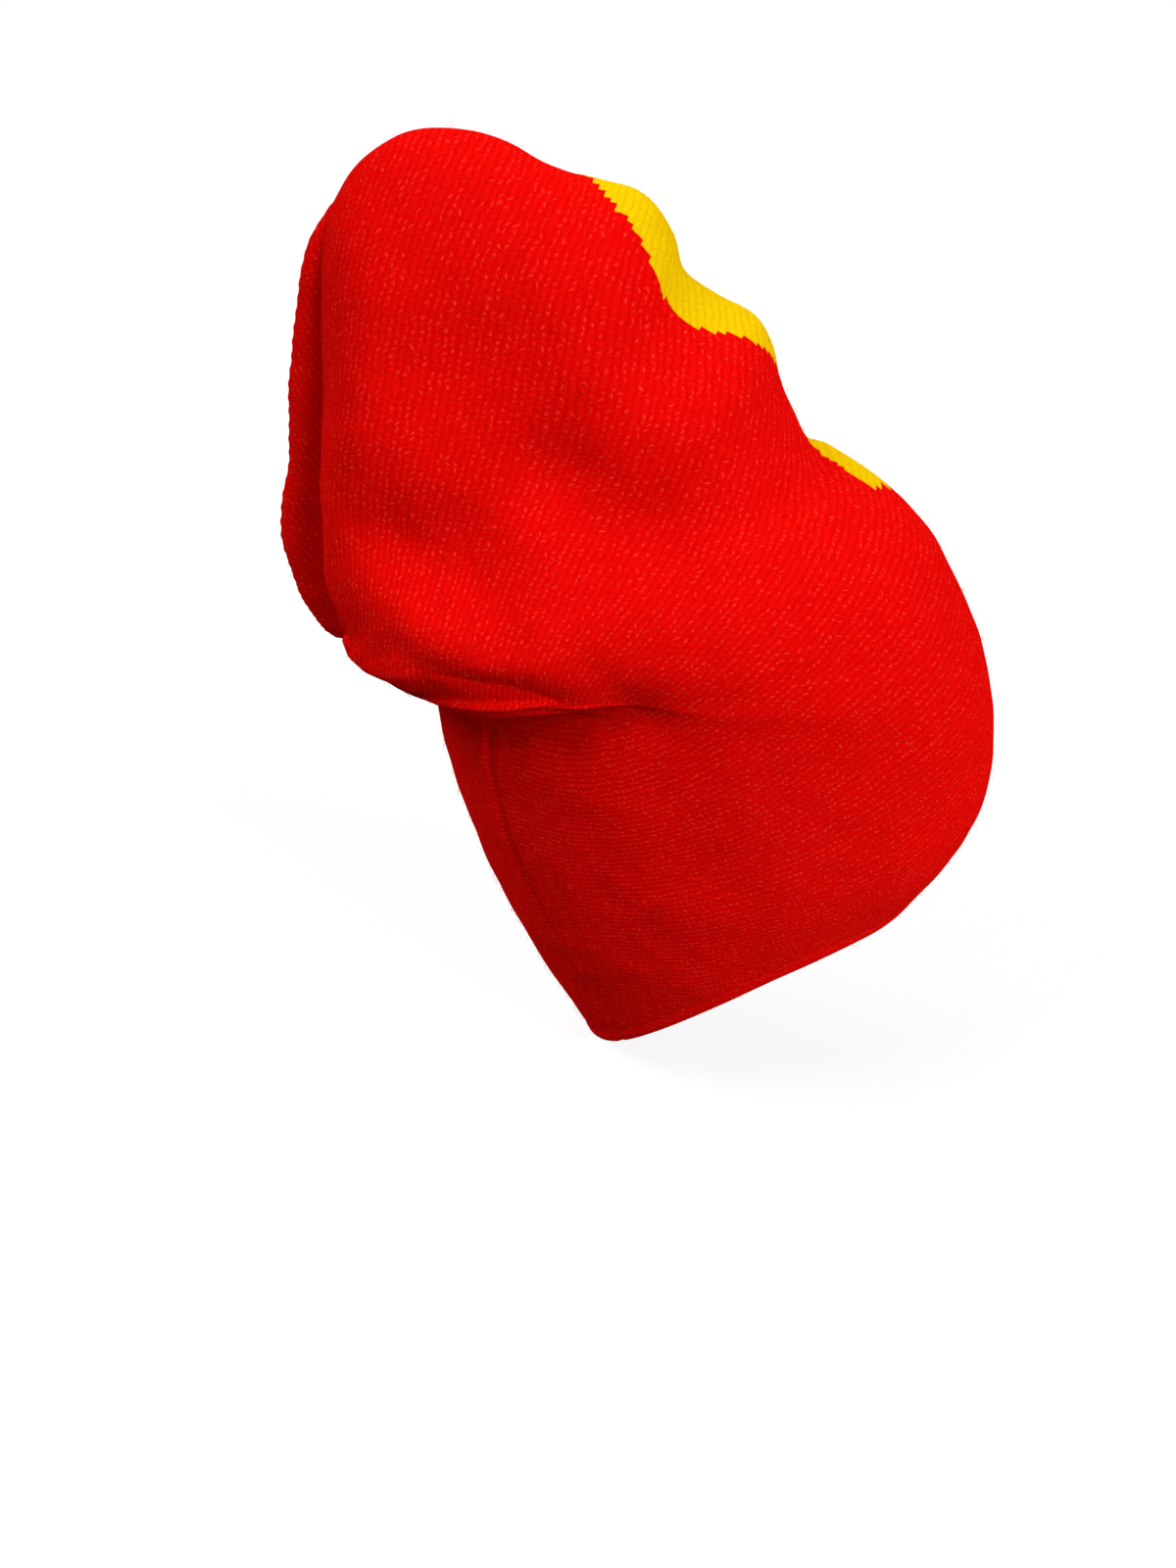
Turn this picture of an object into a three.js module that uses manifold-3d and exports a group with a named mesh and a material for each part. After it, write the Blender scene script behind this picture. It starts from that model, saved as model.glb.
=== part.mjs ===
// Long knitted beanie, in the form it has when worn: the bag stands above the head and hangs over the nape.
// Millimetres, +Z up. +X is the wearer's front, +Y the wearer's left.
// The origin is the middle of the rim opening, where the head carries the hat.
import * as THREE from 'three';
import Module from 'manifold-3d';
import { mergeVertices } from 'three/addons/utils/BufferGeometryUtils.js';

const wasm = await Module();
wasm.setup();

// Driving sizes
const hat_height = 350; // from the rim at the nape to the crown of the bag
const hat_depth = 258; // from the forehead to the sewn end
const head_width = 156; // over the ears, outside the knit
const knit_wall = 3; // the double layer of knit
const side_arch = 34; // how far the knit's rows rise over each ear
const fold_gap = 4; // between the two layers of knit in the fold
const fold_reach = 54; // degrees of the head that the fold runs up, at the back
const skull_rise = 100; // from the fold's mouth to the top of the head
const lip_radius = 5.5; // of the bag's lower edge, where the knit turns back up
const end_seam_width = 11; // the strip outside the sewn end
const end_seam_thickness = 12;
const panel_reach = 100; // degrees round the hat from its front to the yellow field's far edge
const clearance = 0.3; // between pieces that touch

// Where along the tube the fold's mouth is, how much of the front line its rows take,
// and how far along the bag its lower edge still stands out
const fold_start = 0.2;
const fold_share = 0.03;
const half_fold = 0.5 * fold_share; // the fold's own rows, and then the lower edge's
const lip_fade = 0.85;

// The turns between which the fold opens from nothing to its full gap: it turns round at 0.5
const gap_from = 0.25;
const gap_to = 0.75;

// Degrees from the front: where the lower edge begins to stand out and stands fully out,
// and where the fold begins and is at its deepest
const lip_start = 104;
const lip_full = 140;
const fold_from = 121;
const fold_full = 174;

// How low the sewn end bulges most: 1 is halfway down it, and more is lower
const bow_low = 2.2;

// The stretch of the sewn end that the strip covers, as shares of the way from its top to its bottom,
// and how far past the strip's ends its taper would run
const seam_from = 0.06;
const seam_to = 0.88;
const seam_taper = 0.03;

// How finely the surfaces are divided
const columns = 52;
const head_rows = 8;
const fold_rows = 10;
const lip_rows = 4;
const bag_rows = 20;
const end_crowding = 0.12; // how much closer the bag's rows lie near the sewn end
const open_rows = 2; // rows at the sewn end that the hollow leaves out
const panel_rows = 22;
const panel_columns = 14;
const seam_rows = 26;
const seam_sides = 12;
const slab_margin = 3.4; // how far the slab that cuts out the yellow field reaches past the wall
const lower_roll = 0.3; // 0 leaves the bag's lower edge an ellipse, and more makes it fuller
const fuller_from = 0.22; // along the front line
const fuller_to = 0.5;
const roll_start = 70; // degrees from the front
const roll_full = 130;
const roll_limit = 0.01; // keeps the power finite at the middle of the back
const along_step = 0.004; // for the slope of the surface
const angle_step = 0.02;

// The front line, from the rim over the forehead and the crown to the sewn end.
// x is a share of hat_depth and z a share of hat_height.
const FRONT_LINE = [
  { x: 0.252, z: 0.126 },
  { x: 0.326, z: 0.203 },
  { x: 0.346, z: 0.285 },
  { x: 0.324, z: 0.391 },
  { x: 0.256, z: 0.5 },
  { x: 0.202, z: 0.551 },
  { x: 0.112, z: 0.602 },
  { x: 0.074, z: 0.613 },
  { x: 0.043, z: 0.649 },
  { x: 0.021, z: 0.686 },
  { x: 0.012, z: 0.716 },
  { x: -0.008, z: 0.736 },
  { x: -0.058, z: 0.757 },
  { x: -0.099, z: 0.781 },
  { x: -0.113, z: 0.812 },
  { x: -0.134, z: 0.836 },
  { x: -0.158, z: 0.85 },
  { x: -0.205, z: 0.86 },
  { x: -0.264, z: 0.876 },
  { x: -0.322, z: 0.897 },
  { x: -0.395, z: 0.907 },
  { x: -0.445, z: 0.9 },
  { x: -0.493, z: 0.877 },
  { x: -0.522, z: 0.85 },
];

// Sections along the tube: where the back line is, how wide the section is, how far its back part bows out
// and how far its sides rise. along is a share of the front line, back_x and bow are shares of hat_depth,
// back_z of hat_height, half_width of head_width and rise of side_arch.
const SECTIONS = [
  { along: 0, back_x: -0.26, back_z: -0.069, half_width: 0.4, bow: 0, rise: 0.76 },
  { along: 0.05, back_x: -0.313, back_z: 0.014, half_width: 0.44, bow: 0, rise: 0.66 },
  { along: 0.1, back_x: -0.371, back_z: 0.11, half_width: 0.472, bow: 0, rise: 0.55 },
  { along: 0.15, back_x: -0.433, back_z: 0.256, half_width: 0.495, bow: 0, rise: 0.44 },
  { along: 0.2, back_x: -0.465, back_z: 0.422, half_width: 0.51, bow: 0, rise: 0.34 },
  { along: 0.25, back_x: -0.473, back_z: 0.427, half_width: 0.517, bow: 0, rise: 0.3 },
  { along: 0.35, back_x: -0.488, back_z: 0.434, half_width: 0.513, bow: 0.002, rise: 0.2 },
  { along: 0.5, back_x: -0.521, back_z: 0.438, half_width: 0.465, bow: 0.007, rise: 0.08 },
  { along: 0.65, back_x: -0.557, back_z: 0.434, half_width: 0.39, bow: 0.012, rise: 0 },
  { along: 0.8, back_x: -0.569, back_z: 0.43, half_width: 0.305, bow: 0.025, rise: 0 },
  { along: 0.9, back_x: -0.572, back_z: 0.429, half_width: 0.23, bow: 0.033, rise: 0 },
  { along: 0.96, back_x: -0.572, back_z: 0.429, half_width: 0.15, bow: 0.038, rise: 0 },
  { along: 1, back_x: -0.571, back_z: 0.43, half_width: 0.036, bow: 0.042, rise: 0 },
];

// The outline of the yellow field: its edge on the wearer's right and on the wearer's left at places along
// the front line, as shares of panel_reach from the front. Minus is to the wearer's right.
const PANEL_OUTLINE = [
  { along: 0.4, right: 0.25, left: 0.42 },
  { along: 0.412, right: 0.08, left: 0.57 },
  { along: 0.43, right: -0.07, left: 0.7 },
  { along: 0.46, right: -0.1, left: 0.82 },
  { along: 0.485, right: -0.05, left: 0.89 },
  { along: 0.51, right: 0.03, left: 0.93 },
  { along: 0.55, right: 0.02, left: 0.97 },
  { along: 0.575, right: -0.1, left: 0.99 },
  { along: 0.6, right: -0.18, left: 1 },
  { along: 0.64, right: -0.25, left: 0.99 },
  { along: 0.69, right: -0.28, left: 0.94 },
  { along: 0.73, right: -0.27, left: 0.86 },
  { along: 0.765, right: -0.17, left: 0.74 },
  { along: 0.788, right: 0.03, left: 0.6 },
  { along: 0.803, right: 0.22, left: 0.44 },
];

// Dents in both sides, as lines from one place to another, and the rises beside them, whose depth is minus.
// The places are shares of hat_depth and hat_height, the depth and the spread are shares of head_width.
const DENTS = [
  { x0: -0.353, z0: 0.714, x1: -0.29, z1: 0.645, depth: 0.045, spread: 0.15 },
  { x0: -0.25, z0: 0.615, x1: -0.15, z1: 0.585, depth: 0.045, spread: 0.12 },
  { x0: -0.45, z0: 0.572, x1: -0.39, z1: 0.57, depth: 0.045, spread: 0.11 },
  { x0: -0.5, z0: 0.8, x1: -0.5, z1: 0.68, depth: -0.02, spread: 0.1 },
  { x0: -0.49, z0: 0.52, x1: -0.3, z1: 0.505, depth: -0.03, spread: 0.08 },
];

const red = new THREE.Color('#c8120f');
const yellow = new THREE.Color('#f6cf12');

const front_line = new THREE.CatmullRomCurve3(
  FRONT_LINE.map((row) => new THREE.Vector3(row.x * hat_depth, 0, row.z * hat_height)),
  false,
  'centripetal',
);
front_line.arcLengthDivisions = 600;

function smooth(from, to, value) {
  return THREE.MathUtils.smoothstep(value, from, to);
}

// A column of a table at a place between its rows, as a curve through the rows
function sample(table, column, along) {
  const last = table.length - 1;
  let i = 0;
  while (i < last - 1 && along > table[i + 1].along) {
    i += 1;
  }
  const slope = (k) => {
    const before = table[Math.max(k - 1, 0)];
    const after = table[Math.min(k + 1, last)];
    return (after[column] - before[column]) / (after.along - before.along);
  };
  const a = table[i];
  const b = table[i + 1];
  const step = b.along - a.along;
  const u = THREE.MathUtils.clamp((along - a.along) / step, 0, 1);
  const from_a = (2 * u ** 3 - 3 * u ** 2 + 1) * a[column] + (u ** 3 - 2 * u ** 2 + u) * step * slope(i);
  const from_b = (3 * u ** 2 - 2 * u ** 3) * b[column] + (u ** 3 - u ** 2) * step * slope(i + 1);
  return from_a + from_b;
}

function degrees_from_front(angle) {
  return THREE.MathUtils.radToDeg(Math.acos(Math.cos(angle)));
}

// How far the bag's lower edge stands out at an angle from the front: not at the sides, fully at the back
function lip_strength(angle) {
  return smooth(lip_start, lip_full, degrees_from_front(angle));
}

// How deep the fold behind that edge is: none at the sides, full at the back
function fold_strength(angle) {
  return smooth(fold_from, fold_full, degrees_from_front(angle));
}

// How much wider than an ellipse the bag's lower edge is, which makes a soft roll of it
function fuller(along, angle) {
  const at_back = smooth(roll_start, roll_full, degrees_from_front(angle));
  const strength = lower_roll * smooth(fuller_from, fuller_to, along) * at_back;
  return Math.max(Math.abs(Math.sin(angle)), roll_limit) ** -strength;
}

// The tube without its fold: a flattened ring between the front line and the back line
function ring_point(along, angle) {
  const front = front_line.getPointAt(along);
  const back = new THREE.Vector3(
    sample(SECTIONS, 'back_x', along) * hat_depth,
    0,
    sample(SECTIONS, 'back_z', along) * hat_height,
  );
  const across = back.clone().sub(front).normalize();
  const outward = new THREE.Vector3(across.z, 0, -across.x);
  const share = (1 - Math.cos(angle)) / 2;
  const point = front.clone().lerp(back, share);
  const bow = sample(SECTIONS, 'bow', along) * hat_depth;
  point.addScaledVector(outward, bow * Math.sin(Math.PI * share ** bow_low));
  point.y = sample(SECTIONS, 'half_width', along) * head_width * Math.sin(angle) * fuller(along, angle);
  point.z += sample(SECTIONS, 'rise', along) * side_arch * Math.sin(angle) ** 2;
  return point;
}

// A point of the bag moved in or out where a dent or a rise passes, by half its distance from the middle at most
function dented(point) {
  let depth = 0;
  for (const dent of DENTS) {
    const start = new THREE.Vector3(dent.x0 * hat_depth, 0, dent.z0 * hat_height);
    const end = new THREE.Vector3(dent.x1 * hat_depth, 0, dent.z1 * hat_height);
    const flat = new THREE.Vector3(point.x, 0, point.z);
    const nearest = new THREE.Line3(start, end).closestPointToPoint(flat, true, new THREE.Vector3());
    const away = nearest.distanceTo(flat) / (dent.spread * head_width);
    depth += dent.depth * head_width * Math.exp(-(away ** 2));
  }
  const limit = 0.5 * Math.abs(point.y);
  const inward = THREE.MathUtils.clamp(depth, -limit, limit);
  point.y -= Math.sign(point.y) * inward;
  return point;
}

const mouth_front = ring_point(fold_start, 0);
const mouth_back = ring_point(fold_start, Math.PI);
const head_middle = mouth_front.clone().lerp(mouth_back, 0.5);

// The outward direction on the head under the bag
function head_normal(arm, climb) {
  return new THREE.Vector3(
    (Math.cos(climb) * arm.x) / mouth_back.distanceTo(head_middle) ** 2,
    (Math.cos(climb) * arm.y) / (0.5 * head_width) ** 2,
    Math.sin(climb) / skull_rise,
  ).normalize();
}

// From the fold's mouth to a place inside it. turn is 0 at the mouth's inner edge and 1 at its outer edge.
function into_fold(angle, turn) {
  const climb = THREE.MathUtils.degToRad(fold_reach) * fold_strength(angle) * (1 - (2 * turn - 1) ** 2);
  const gap = fold_gap * lip_strength(angle) * smooth(gap_from, gap_to, turn);
  const arm = ring_point(fold_start, angle).sub(head_middle);
  const way = arm.clone().multiplyScalar(Math.cos(climb) - 1);
  way.z += skull_rise * Math.sin(climb);
  return way.addScaledVector(head_normal(arm, climb), gap);
}

// From the fold's mouth round the bag's lower edge. turn is 0 at the mouth and 1 on the outside.
function round_lip(angle, turn) {
  const arm = ring_point(fold_start, angle).sub(head_middle);
  const radius = lip_radius * lip_strength(angle);
  const way = head_normal(arm, 0).multiplyScalar(radius * (1 - Math.cos(Math.PI * turn)));
  way.z -= radius * Math.sin(Math.PI * turn);
  return way.add(into_fold(angle, 1));
}

// The outer surface at a row of the tube and an angle from the front
function surface_point(row, angle) {
  if (row.part === 'head') {
    return ring_point(row.share * fold_start, angle);
  }
  if (row.part === 'fold') {
    return ring_point(fold_start + half_fold * row.share, angle).add(into_fold(angle, row.share));
  }
  if (row.part === 'lip') {
    return ring_point(fold_start + half_fold * (1 + row.share), angle).add(round_lip(angle, row.share));
  }
  const start = fold_start + fold_share;
  const along = start + (1 - start) * row.share;
  const lip = round_lip(angle, 1).multiplyScalar(1 - smooth(start, lip_fade, along));
  return dented(ring_point(along, angle).add(lip));
}

// The rows of the tube from the rim to the sewn end, closer together near that end
function tube_rows() {
  const rows = [];
  for (let i = 0; i < head_rows; i += 1) {
    rows.push({ part: 'head', share: i / head_rows });
  }
  for (let i = 0; i < fold_rows; i += 1) {
    rows.push({ part: 'fold', share: i / fold_rows });
  }
  for (let i = 0; i < lip_rows; i += 1) {
    rows.push({ part: 'lip', share: i / lip_rows });
  }
  for (let i = 0; i <= bag_rows; i += 1) {
    const even = i / bag_rows;
    rows.push({ part: 'bag', share: even + end_crowding * Math.sin(Math.PI * even) * even });
  }
  return rows;
}

// The outward direction at each point of the tube's outer surface
function grid_normals(grid) {
  return grid.map((ring, i) => ring.map((_, j) => {
    const above = grid[Math.min(i + 1, grid.length - 1)][j];
    const below = grid[Math.max(i - 1, 0)][j];
    const left = ring[(j + columns - 1) % columns];
    const right = ring[(j + 1) % columns];
    const round = right.clone().sub(left);
    const along = above.clone().sub(below);
    return round.cross(along).normalize();
  }));
}

function closed_geometry(positions, faces) {
  const geometry = new THREE.BufferGeometry();
  const numbers = positions.flatMap((p) => p.toArray());
  geometry.setAttribute('position', new THREE.Float32BufferAttribute(numbers, 3));
  geometry.setIndex(faces.flat());
  return mergeVertices(geometry, 1e-4);
}

function add_quad(faces, a, b, c, d) {
  faces.push([a, b, c], [a, c, d]);
}

// The whole tube as one wall: its outer surface, its inner surface, the rim between them and the sewn end
function shell_geometry() {
  const rows = tube_rows();
  const angles = Array.from({ length: columns }, (_, j) => (2 * Math.PI * j) / columns);
  const outer = rows.map((row) => angles.map((angle) => surface_point(row, angle)));
  const normals = grid_normals(outer);
  const inner_count = rows.length - open_rows;
  const inner = outer.slice(0, inner_count).map((ring, i) => ring.map((point, j) => (
    point.clone().addScaledVector(normals[i][j], -knit_wall)
  )));
  const positions = [...outer.flat(), ...inner.flat()];
  const at = (i, j) => i * columns + (j % columns);
  const inside = (i, j) => outer.length * columns + i * columns + (j % columns);
  const faces = [];
  for (let j = 0; j < columns; j += 1) {
    for (let i = 0; i + 1 < outer.length; i += 1) {
      add_quad(faces, at(i, j), at(i, j + 1), at(i + 1, j + 1), at(i + 1, j));
    }
    for (let i = 0; i + 1 < inner.length; i += 1) {
      add_quad(faces, inside(i, j), inside(i + 1, j), inside(i + 1, j + 1), inside(i, j + 1));
    }
    add_quad(faces, at(0, j + 1), at(0, j), inside(0, j), inside(0, j + 1));
  }
  const outer_last = outer.length - 1;
  const inner_last = inner.length - 1;
  for (let j = 1; j < columns / 2; j += 1) {
    const back = columns - j;
    if (j === 1) {
      faces.push([at(outer_last, 0), at(outer_last, 1), at(outer_last, back)]);
      faces.push([inside(inner_last, 0), inside(inner_last, back), inside(inner_last, 1)]);
    } else {
      const [a, b, c, d] = [j - 1, j, back, back + 1].map((column) => at(outer_last, column));
      add_quad(faces, a, b, c, d);
      add_quad(
        faces,
        inside(inner_last, j),
        inside(inner_last, j - 1),
        inside(inner_last, back + 1),
        inside(inner_last, back),
      );
    }
  }
  const middle = columns / 2;
  faces.push([at(outer_last, middle - 1), at(outer_last, middle), at(outer_last, middle + 1)]);
  faces.push([inside(inner_last, middle - 1), inside(inner_last, middle + 1), inside(inner_last, middle)]);
  return closed_geometry(positions, faces);
}

function to_solid(geometry) {
  const mesh = new wasm.Mesh({
    numProp: 3,
    vertProperties: new Float32Array(geometry.attributes.position.array),
    triVerts: new Uint32Array(geometry.index.array),
  });
  return new wasm.Manifold(mesh);
}

function to_geometry(solid) {
  const mesh = solid.getMesh();
  const geometry = new THREE.BufferGeometry();
  geometry.setAttribute('position', new THREE.BufferAttribute(Float32Array.from(mesh.vertProperties), 3));
  geometry.setIndex(new THREE.BufferAttribute(Uint32Array.from(mesh.triVerts), 1));
  geometry.computeVertexNormals();
  return geometry;
}

// The largest body of a cut solid, without the crumbs that a cut along a faceted wall leaves
function main_body(solid) {
  return solid.decompose().reduce((best, body) => (body.volume() > best.volume() ? body : best));
}

function named_mesh(name, geometry, color) {
  const material = new THREE.MeshStandardMaterial({ color, roughness: 0.95, metalness: 0 });
  const mesh = new THREE.Mesh(geometry, material);
  mesh.name = name;
  return mesh;
}

// The outer surface above the fold at a place along the front line, moved out by a distance
function bag_point(along, angle, out) {
  const start = fold_start + fold_share;
  const at = (a, g) => surface_point({ part: 'bag', share: (a - start) / (1 - start) }, g);
  const up = at(along + along_step, angle).sub(at(along - along_step, angle));
  const round = at(along, angle + angle_step).sub(at(along, angle - angle_step));
  return at(along, angle).addScaledVector(round.cross(up).normalize(), out);
}

// A slab that crosses the wall over the whole yellow field, less a margin all round
function panel_slab(margin) {
  const first = PANEL_OUTLINE[0].along;
  const last = PANEL_OUTLINE[PANEL_OUTLINE.length - 1].along;
  const reach = THREE.MathUtils.degToRad(panel_reach);
  const along_margin = margin / front_line.getLength();
  const angle_margin = margin / (0.5 * head_width);
  const layer = (out) => Array.from({ length: panel_rows + 1 }, (_, i) => {
    const place = THREE.MathUtils.lerp(first, last, (1 - Math.cos((Math.PI * i) / panel_rows)) / 2);
    const right = sample(PANEL_OUTLINE, 'right', place) * reach + angle_margin;
    const left = sample(PANEL_OUTLINE, 'left', place) * reach - angle_margin;
    const along = THREE.MathUtils.mapLinear(place, first, last, first + along_margin, last - along_margin);
    return Array.from({ length: panel_columns + 1 }, (__, j) => (
      bag_point(along, THREE.MathUtils.lerp(right, left, j / panel_columns), out)
    ));
  });
  const top = layer(slab_margin);
  const bottom = layer(-knit_wall - slab_margin);
  const positions = [...top.flat(), ...bottom.flat()];
  const per_row = panel_columns + 1;
  const up = (i, j) => i * per_row + j;
  const down = (i, j) => (panel_rows + 1) * per_row + i * per_row + j;
  const faces = [];
  for (let i = 0; i < panel_rows; i += 1) {
    for (let j = 0; j < panel_columns; j += 1) {
      add_quad(faces, up(i, j), up(i, j + 1), up(i + 1, j + 1), up(i + 1, j));
      add_quad(faces, down(i, j), down(i + 1, j), down(i + 1, j + 1), down(i, j + 1));
    }
    add_quad(faces, up(i + 1, 0), down(i + 1, 0), down(i, 0), up(i, 0));
    const next = i + 1;
    add_quad(faces, up(i, panel_columns), down(i, panel_columns), down(next, panel_columns), up(next, panel_columns));
  }
  for (let j = 0; j < panel_columns; j += 1) {
    add_quad(faces, up(0, j), down(0, j), down(0, j + 1), up(0, j + 1));
    add_quad(faces, up(panel_rows, j + 1), down(panel_rows, j + 1), down(panel_rows, j), up(panel_rows, j));
  }
  return to_solid(closed_geometry(positions, faces));
}

// The strip outside the sewn end: an oval bead along the end, tapered at its top and its bottom
function end_seam_geometry() {
  const rings = [];
  for (let i = 0; i <= seam_rows; i += 1) {
    const angle = Math.PI * THREE.MathUtils.lerp(seam_from, seam_to, i / seam_rows);
    const here = ring_point(1, angle).setY(0);
    const behind = ring_point(1, angle - angle_step);
    const tangent = ring_point(1, angle + angle_step).sub(behind).setY(0).normalize();
    const outward = new THREE.Vector3(tangent.z, 0, -tangent.x);
    const along_strip = THREE.MathUtils.lerp(seam_taper, 1 - seam_taper, i / seam_rows);
    const taper = Math.sqrt(Math.sin(Math.PI * along_strip));
    const half_width = 0.5 * end_seam_width * taper;
    const half_thickness = 0.5 * end_seam_thickness * taper;
    const middle = here.addScaledVector(outward, clearance + half_width);
    rings.push(Array.from({ length: seam_sides }, (_, j) => {
      const turn = (2 * Math.PI * j) / seam_sides;
      const point = middle.clone().addScaledVector(outward, half_width * Math.cos(turn));
      point.y = half_thickness * Math.sin(turn);
      return point;
    }));
  }
  const faces = [];
  const at = (i, j) => i * seam_sides + (j % seam_sides);
  for (let i = 0; i < seam_rows; i += 1) {
    for (let j = 0; j < seam_sides; j += 1) {
      add_quad(faces, at(i, j), at(i, j + 1), at(i + 1, j + 1), at(i + 1, j));
    }
  }
  for (let j = 1; j + 1 < seam_sides; j += 1) {
    faces.push([at(0, 0), at(0, j + 1), at(0, j)]);
    faces.push([at(seam_rows, 0), at(seam_rows, j), at(seam_rows, j + 1)]);
  }
  return closed_geometry(rings.flat(), faces);
}

const shell = to_solid(shell_geometry());
const hat = new THREE.Group();
hat.name = 'long_beanie';
hat.add(named_mesh('knit_body', to_geometry(main_body(shell.subtract(panel_slab(0)))), red));
hat.add(named_mesh('front_panel', to_geometry(main_body(shell.intersect(panel_slab(clearance)))), yellow));
hat.add(named_mesh('end_seam', to_geometry(to_solid(end_seam_geometry())), red));

export default hat;
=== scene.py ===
# %% [markdown]
# # A long knitted beanie
#
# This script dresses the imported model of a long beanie: a knitted tube, open at the rim and sewn flat at its
# far end. One real hat is one cloth, so most of the work goes into one surface and how its stitches run.
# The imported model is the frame. Everything is in metres, with +Z up and +X to the wearer's front.

# %% The frame
import math

import bpy
import numpy as np
from mathutils import Matrix, Vector, noise


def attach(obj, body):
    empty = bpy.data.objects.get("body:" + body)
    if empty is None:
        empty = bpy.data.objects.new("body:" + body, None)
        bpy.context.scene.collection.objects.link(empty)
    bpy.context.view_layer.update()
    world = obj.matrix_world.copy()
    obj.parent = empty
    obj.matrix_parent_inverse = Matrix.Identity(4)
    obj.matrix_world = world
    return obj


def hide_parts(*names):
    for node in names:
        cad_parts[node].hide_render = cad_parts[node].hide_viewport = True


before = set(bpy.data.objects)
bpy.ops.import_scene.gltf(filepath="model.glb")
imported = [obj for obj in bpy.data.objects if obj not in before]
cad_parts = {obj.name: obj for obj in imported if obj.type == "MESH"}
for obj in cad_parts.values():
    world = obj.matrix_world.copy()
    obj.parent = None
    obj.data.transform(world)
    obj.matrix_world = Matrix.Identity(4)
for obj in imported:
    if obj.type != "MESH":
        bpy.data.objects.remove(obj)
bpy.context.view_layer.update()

# %% [markdown]
# ## The camera
#
# It looks at the wearer's right, from a little above. Its place, pitch and roll are worked out from the
# photograph, so that the rendered outline can be laid over it.

# %% The camera
CAMERA_PLACE = Vector((-0.0628, -0.462, 0.344))
CAMERA_PITCH = math.radians(29.1)
CAMERA_ROLL = math.radians(-2.31)
CAMERA_LENS = 31.5  # in mm, on a sensor of SENSOR_WIDTH
SENSOR_WIDTH = 36


def make_camera():
    data = bpy.data.cameras.new("photo_camera")
    data.lens = CAMERA_LENS
    data.sensor_width = SENSOR_WIDTH
    camera = bpy.data.objects.new("photo_camera", data)
    bpy.context.scene.collection.objects.link(camera)
    look = Matrix.Rotation(math.pi / 2 - CAMERA_PITCH, 4, "X") @ Matrix.Rotation(CAMERA_ROLL, 4, "Z")
    camera.matrix_world = Matrix.Translation(CAMERA_PLACE) @ look
    bpy.context.scene.camera = camera


make_camera()

# %% [markdown]
# ## The driving sizes
#
# The same named sizes and tables as in the solid model, so that the cloth lies where the solid is. Tables hold
# shares of these sizes. Each section is a flattened ring between the front line and a back line.

# %% The driving sizes
hat_height = 0.350
hat_depth = 0.258
head_width = 0.156
knit_wall = 0.003
side_arch = 0.034
fold_gap = 0.004
fold_reach = math.radians(54)
skull_rise = 0.100
lip_radius = 0.0055
panel_reach = math.radians(100)

# Along the front line: the fold's mouth and its share, the bag's beginning, and the lower edge's end
fold_start = 0.2
fold_share = 0.03
half_fold = fold_share / 2
bag_start = fold_start + fold_share
lip_fade = 0.85

# Where things begin and where they are full: the fold's gap by turn, the others by degrees from the front
gap_turns = (0.25, 0.75)
lip_degrees = (104, 140)
fold_degrees = (121, 174)
roll_degrees = (70, 130)

bow_low = 2.2  # more puts the end's bow lower
lower_roll = 0.3  # more makes the lower edge fuller
fuller_along = (0.22, 0.5)
roll_limit = 0.01  # keeps the roll finite at the back

FRONT_LINE = np.array([  # x, z
    (0.252, 0.126), (0.326, 0.203), (0.346, 0.285), (0.324, 0.391), (0.256, 0.5), (0.202, 0.551),
    (0.112, 0.602), (0.074, 0.613), (0.043, 0.649), (0.021, 0.686), (0.012, 0.716), (-0.008, 0.736),
    (-0.058, 0.757), (-0.099, 0.781), (-0.113, 0.812), (-0.134, 0.836), (-0.158, 0.85), (-0.205, 0.86),
    (-0.264, 0.876), (-0.322, 0.897), (-0.395, 0.907), (-0.445, 0.9), (-0.493, 0.877), (-0.522, 0.85),
])

SECTIONS = np.array([  # along, back_x, back_z, half_width, bow, rise
    (0, -0.26, -0.069, 0.4, 0, 0.76),
    (0.05, -0.313, 0.014, 0.44, 0, 0.66),
    (0.1, -0.371, 0.11, 0.472, 0, 0.55),
    (0.15, -0.433, 0.256, 0.495, 0, 0.44),
    (0.2, -0.465, 0.422, 0.51, 0, 0.34),
    (0.25, -0.473, 0.427, 0.517, 0, 0.3),
    (0.35, -0.488, 0.434, 0.513, 0.002, 0.2),
    (0.5, -0.521, 0.438, 0.465, 0.007, 0.08),
    (0.65, -0.557, 0.434, 0.39, 0.012, 0),
    (0.8, -0.569, 0.43, 0.305, 0.025, 0),
    (0.9, -0.572, 0.429, 0.23, 0.033, 0),
    (0.96, -0.572, 0.429, 0.15, 0.038, 0),
    (1, -0.571, 0.43, 0.036, 0.042, 0),
])

PANEL_OUTLINE = np.array([  # along, right, left: shares of panel_reach from the front
    (0.4, 0.25, 0.42), (0.412, 0.08, 0.57), (0.43, -0.07, 0.7), (0.46, -0.1, 0.82), (0.485, -0.05, 0.89),
    (0.51, 0.03, 0.93), (0.55, 0.02, 0.97), (0.575, -0.1, 0.99), (0.6, -0.18, 1), (0.64, -0.25, 0.99),
    (0.69, -0.28, 0.94), (0.73, -0.27, 0.86), (0.765, -0.17, 0.74), (0.788, 0.03, 0.6), (0.803, 0.22, 0.44),
])

DENTS = [  # x0, z0, x1, z1, depth (minus for a rise), spread
    (-0.353, 0.714, -0.29, 0.645, 0.045, 0.15),
    (-0.25, 0.615, -0.15, 0.585, 0.045, 0.12),
    (-0.45, 0.572, -0.39, 0.57, 0.045, 0.11),
    (-0.5, 0.8, -0.5, 0.68, -0.02, 0.1),
    (-0.49, 0.52, -0.3, 0.505, -0.03, 0.08),
]

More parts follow.
